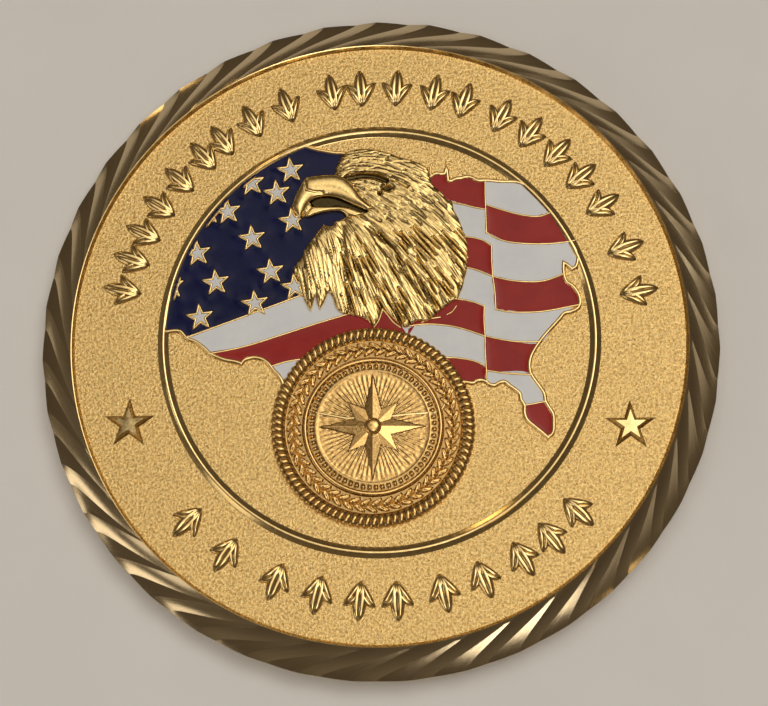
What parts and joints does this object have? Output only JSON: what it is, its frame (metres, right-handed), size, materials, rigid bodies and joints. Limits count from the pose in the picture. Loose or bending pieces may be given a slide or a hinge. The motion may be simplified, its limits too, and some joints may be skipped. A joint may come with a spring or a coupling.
{
  "type": "challenge coin",
  "caption": "Round struck medal with a rope-cut edge, a bead ring, a domed eagle head, a round medallion and sunk pools of coloured enamel.",
  "frame": {"origin": "centre of the coin, on the plane of the reverse's flat land", "axes": "+Z out of the obverse, +Y towards the top of the design, +X to its right"},
  "size_m": [0.0444, 0.0444, 0.0035],
  "materials": {
    "plated_brass": "gold plated, sandblasted fields and polished relief",
    "navy_enamel": "soft enamel",
    "red_enamel": "soft enamel",
    "white_enamel": "soft enamel"
  },
  "bodies": {
    "root": {"canton_enamel": "navy_enamel", "red_enamel_crown": "red_enamel", "red_enamel_lower_left": "red_enamel", "red_enamel_lower_right": "red_enamel", "red_enamel_middle_right": "red_enamel", "red_enamel_neck_lower": "red_enamel", "red_enamel_neck_right": "red_enamel", "red_enamel_tip": "red_enamel", "red_enamel_under_medallion": "red_enamel", "red_enamel_upper_right": "red_enamel", "star_enamel_01": "white_enamel", "star_enamel_02": "white_enamel", "star_enamel_03": "white_enamel", "star_enamel_04": "white_enamel", "star_enamel_05": "white_enamel", "star_enamel_06": "white_enamel", "star_enamel_07": "white_enamel", "star_enamel_08": "white_enamel", "star_enamel_09": "white_enamel", "star_enamel_10": "white_enamel", "star_enamel_11": "white_enamel", "struck_body": "plated_brass", "white_enamel_folded": "white_enamel", "white_enamel_long_left": "white_enamel", "white_enamel_lower_inner": "white_enamel", "white_enamel_lower_outer": "white_enamel", "white_enamel_middle_outer": "white_enamel", "white_enamel_small_left": "white_enamel", "white_enamel_upper_inner": "white_enamel", "white_enamel_upper_outer": "white_enamel"}
  },
  "joints": []
}
